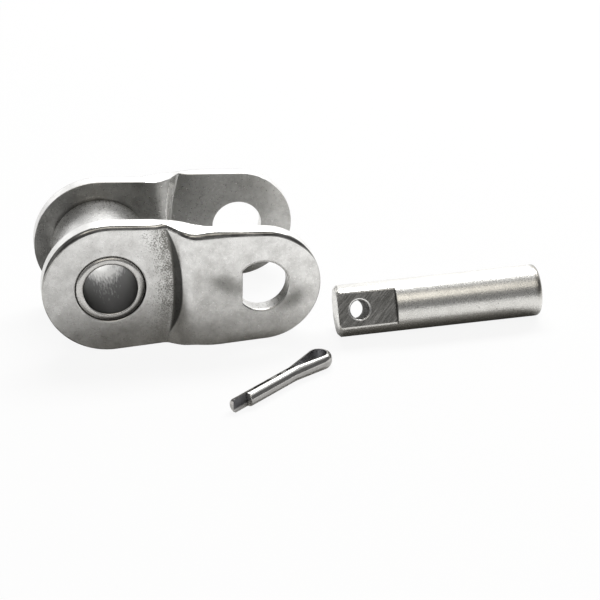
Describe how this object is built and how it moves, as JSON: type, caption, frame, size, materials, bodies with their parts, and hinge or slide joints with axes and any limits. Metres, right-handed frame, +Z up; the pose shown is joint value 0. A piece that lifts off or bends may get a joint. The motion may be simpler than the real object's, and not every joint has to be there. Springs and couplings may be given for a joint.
{
  "type": "roller chain offset link",
  "caption": "Offset link for a roller chain: cranked plates on a pressed bushing with a free roller, with its flatted connecting pin and split cotter laid beside it.",
  "frame": {"origin": "middle of the bushing axis, half way between the plates", "axes": "+X along the link towards the wide end, +Y along the bushing from the cotter-side plate to the plain plate, +Z up from the surface the link stands on"},
  "size_m": [0.0421, 0.0261, 0.0115],
  "materials": {
    "plate_steel": "satin stainless plate with cloudy polishing marks",
    "bushing_steel": "satin turned steel",
    "roller_steel": "satin drawn steel",
    "pin_steel": "ground shank with a milled flat",
    "cotter_steel": "bright drawn wire"
  },
  "bodies": {
    "link": {"cotter_side_plate": "plate_steel", "plain_side_plate": "plate_steel", "bushing": "bushing_steel", "connecting_pin": "pin_steel", "cotter_pin": "cotter_steel"},
    "roller": {"roller": "roller_steel"}
  },
  "joints": [
    {"name": "roller_spin", "type": "hinge", "parent": "link", "child": "roller", "pos_m": [0, 0, 0], "axis": [0, 1, 0], "continuous": true}
  ]
}
